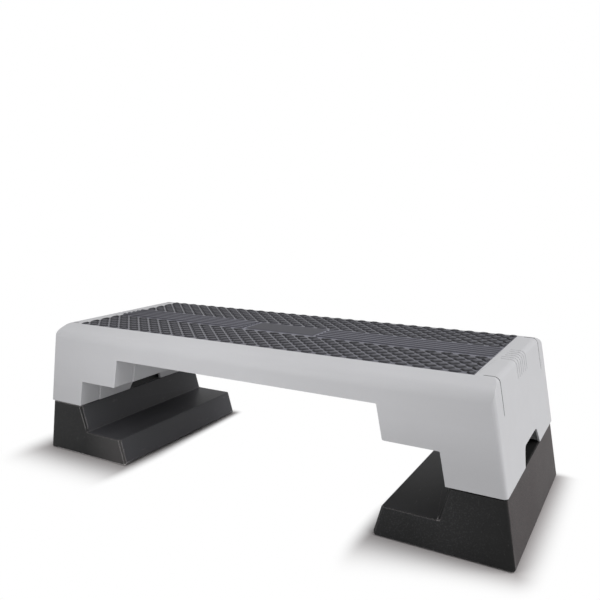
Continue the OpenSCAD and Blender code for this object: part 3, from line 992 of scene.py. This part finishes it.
def from_riser(paint, place):
    """The distance from the nearer riser's rectangle on the floor, stretched by the hastes."""
    low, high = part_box("right_riser")
    x, y = part_of(paint, place, X), part_of(paint, place, Y)
    outward = size_of(paint, place, X)
    right = on_right(paint, place)
    end = right * (right_end_haste - left_end_haste) + left_end_haste
    front = right * (right_front_haste - left_front_haste) + left_front_haste
    front = front + above(paint, x, corner_from_x, corner_over) * corner_haste
    under = under_haste + above(paint, y, under_from_y, under_over) * far_under_haste
    past_x = at_least_0(paint, outward - high.x) * end + at_least_0(paint, low.x - outward) * under
    past_y = at_least_0(paint, low.y - y) * front + at_least_0(paint, y - high.y) * back_haste
    return (past_x * past_x + past_y * past_y) ** 0.5


print("floor distances are ready")

# %% [markdown]
# ## Paper that keeps only the near shadow
# Beside a riser the floor is rough paper with a painted contact shadow: its colour is greyer where the
# riser touches it, so that the contact looks firm. Within the reach it fades into plain light of the
# background's own white. An even fade would do, but its end could show as a line. A smooth step starts and
# ends gently.

# %% Floor paper
shadow_grey, paper_grey, unseen_grey = grey(0.45, -0.05), grey(0.985, -0.005), grey(0.78)
plain_white = (1.0, 1.0, 1.0, 1.0)
paper_roughness, paper_roughness_drift, paper_mirror = 0.85, 0.1, 0.1


def floor_finish():
    paint = Paint("floor_paper")
    place = position(paint)
    seen = paint.add("LightPath", out="Is Camera Ray")
    drift = noise(paint, place, scale=2.0)
    away = from_riser(paint, place)
    white = paint.add("MapRange", {"interpolation_type": "SMOOTHSTEP"}, {
        "Value": away, "From Min": 0.0, "From Max": shadow_reach, "To Min": 0.0, "To Max": 1.0})
    # painted contact shadow: the paper's colour is greyer near a riser
    contact = paint.mix(clamp01(paint, away * (1 / contact_reach)), shadow_grey, paper_grey)
    paper = paint.add("BsdfPrincipled", None, {
        "Base Color": paint.mix(seen, unseen_grey, contact),
        "Roughness": clamp01(paint, paper_roughness + (drift - 0.5) * paper_roughness_drift),
        "Specular IOR Level": paper_mirror})
    glow = paint.add("Emission", None, {"Color": plain_white, "Strength": 1.0})
    shader = paint.add("MixShader", None, {0: white * seen, 1: paper, 2: glow})
    return paint.finish(shader)


print("floor paper is ready")

# %% [markdown]
# ## The floor
# A wide disc needs no corners and reaches past everything that the camera sees.

# %% Floor
floor_radius, floor_steps, floor_thickness = 14.0, 96, 20.0 * MM
floor = Heap()
floor.rings([circle(floor_radius, z, floor_steps) for z in (-floor_thickness, 0.0)])
floor_mesh = bpy.data.meshes.new("floor")
floor_mesh.from_pydata(floor.points, [], floor.faces)
floor_mesh.materials.append(floor_finish())
floor_object = bpy.data.objects.new("floor", floor_mesh)
bpy.context.scene.collection.objects.link(floor_object)
print("floor radius", floor_radius, "m")

# %% [markdown]
# ## The studio's walls
# The step stands in an even pale studio. An image of a real studio would light it too, but a plain
# world needs no file. The camera sees the world plain white. What lights the step is weaker, most
# of all from the front, so that the long side stays darker than the top.

# %% World
ambient, front_dim = 0.62, 0.55


def studio_world():
    paint = Paint("studio", bpy.data.worlds)
    towards = paint.add("TexCoord", out="Generated")
    front = clamp01(paint, 0 - part_of(paint, towards, Y))
    seen = paint.add("LightPath", out="Is Camera Ray")
    strength = seen + (1 - seen) * (1 - front * front_dim) * ambient
    shader = paint.add("Background", None, {"Color": plain_white, "Strength": strength})
    return paint.finish(shader, "OutputWorld")


bpy.context.scene.world = studio_world()
print("the studio lights the step to", ambient)

# %% [markdown]
# ## Lamps
# One large soft lamp above and to the right gives the shoulder, the top and the right end more
# light than the long side. A weak one in front, on the left, lights the long side, most of all its
# left half. Both are square area lamps, because a point lamp would draw hard shadows.

# %% Soft lamps
def soft_lamp(name, towards, distance, size, level):
    """A square lamp in direction towards that lights a surface facing it to the given level."""
    direction = Vector(towards).normalized()
    data = bpy.data.lights.new(name, "AREA")
    data.shape = "SQUARE"
    data.size = size
    data.energy = level * math.pi ** 2 * distance ** 2
    lamp = bpy.data.objects.new(name, data)
    lamp.location = direction * distance
    lamp.rotation_euler = direction.to_track_quat("Z", "Y").to_euler()
    bpy.context.scene.collection.objects.link(lamp)
    print(name, "has", round(data.energy, 1), "W")


soft_lamp("key_lamp", towards=(0.69, 0.03, 0.72), distance=3.2, size=2.4, level=0.53)
soft_lamp("fill_lamp", towards=(-0.15, -0.85, 0.50), distance=0.85, size=0.6, level=0.27)

# %% [markdown]
# ## Camera
# The picture was taken from the front right, a little above the tread. A camera could be placed
# by eye, but one fitted to the step's corners in the photograph lets the two pictures be laid over
# each other. The fit gives a direction, a distance, a point aimed at and a focal length in pixels,
# which the sensor's width turns into the lens's length.

# %% Camera
azimuth, elevation, roll = math.radians(30.179), math.radians(9.075), math.radians(-0.474)
distance = 1.129014
aim = Vector((0.029455, 0.0, 0.305828))
focal_length_px, photo_width_px, sensor_width_mm = 637.484, 600, 36.0
nearest, farthest = 0.05, 60.0

back = Vector((math.sin(azimuth) * math.cos(elevation),
               -math.cos(azimuth) * math.cos(elevation), math.sin(elevation)))
right = Vector((math.cos(azimuth), math.sin(azimuth), 0.0))
up = back.cross(right)
rolled_right = right * math.cos(roll) + up * math.sin(roll)
rolled_up = up * math.cos(roll) - right * math.sin(roll)

camera_data = bpy.data.cameras.new("camera")
camera_data.sensor_fit = "HORIZONTAL"
camera_data.sensor_width = sensor_width_mm
camera_data.lens = sensor_width_mm * focal_length_px / photo_width_px
camera_data.clip_start = nearest
camera_data.clip_end = farthest
camera = bpy.data.objects.new("camera", camera_data)
axes = Matrix((rolled_right, rolled_up, back)).transposed()
camera.matrix_world = Matrix.Translation(aim + back * distance) @ axes.to_4x4()
bpy.context.scene.collection.objects.link(camera)
bpy.context.scene.camera = camera
bpy.context.scene.view_settings.view_transform = "Standard"
print("camera at", tuple(round(v, 4) for v in camera.location), "lens", round(camera_data.lens, 2))
